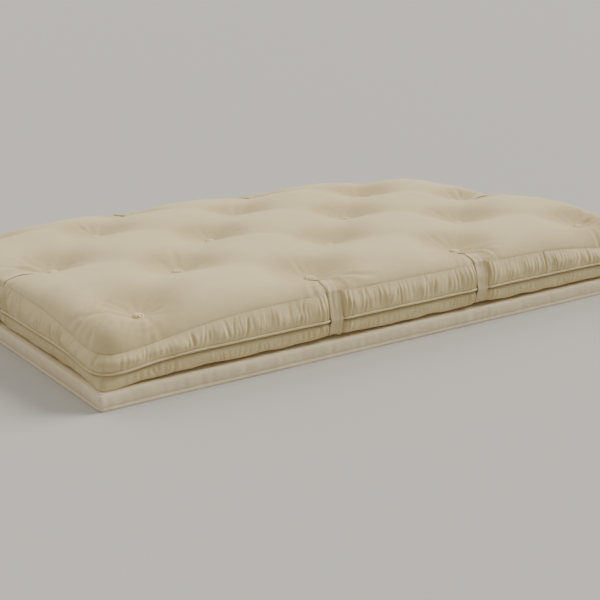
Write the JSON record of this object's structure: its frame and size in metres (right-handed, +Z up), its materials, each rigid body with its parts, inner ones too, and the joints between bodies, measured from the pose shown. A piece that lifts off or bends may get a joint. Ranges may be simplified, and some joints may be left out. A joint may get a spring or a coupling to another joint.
{
  "type": "futon mattress",
  "caption": "Hand-tufted cotton futon mattress with banded, welted sides and edge straps, lying on a thin cotton-covered base pad.",
  "frame": {"origin": "middle of the base pad's underside", "axes": "+X along the length, +Y across the width, +Z up"},
  "size_m": [1.905, 1.372, 0.25],
  "materials": {
    "ticking": "unbleached plain-weave cotton, matt",
    "welt": "unbleached cotton cut on the bias, matt",
    "strap": "folded cotton strap, matt",
    "tuft": "soft cotton yarn, matt",
    "thread": "cotton thread, matt",
    "batting": "loose carded cotton, matt"
  },
  "bodies": {
    "base_pad": {"base_core": "batting", "base_bottom_panel": "ticking", "base_top_panel": "ticking", "base_front_band": "ticking", "base_back_band": "ticking", "base_left_band": "ticking", "base_right_band": "ticking", "base_hem_thread": "thread"},
    "mattress": {"bottom_panel": "ticking", "top_panel": "ticking", "cotton_batt_1": "batting", "cotton_batt_2": "batting", "cotton_batt_3": "batting", "cotton_batt_4": "batting", "cotton_batt_5": "batting", "cotton_batt_6": "batting", "front_lower_band": "ticking", "back_lower_band": "ticking", "left_lower_band": "ticking", "right_lower_band": "ticking", "front_upper_band": "ticking", "back_upper_band": "ticking", "left_upper_band": "ticking", "right_upper_band": "ticking", "welt_cord": "batting", "welt_cover": "welt", "top_seam_thread": "thread", "top_tufts": "tuft", "bottom_tufts": "tuft", "tuft_twine": "thread", "front_left_strap": "strap", "front_right_strap": "strap", "back_left_strap": "strap", "back_right_strap": "strap", "left_end_strap": "strap", "right_end_strap": "strap"}
  },
  "joints": [
    {"name": "mattress_lift", "type": "slide", "parent": "base_pad", "child": "mattress", "axis": [0, 0, 1], "range_m": [0, 0.3]}
  ]
}
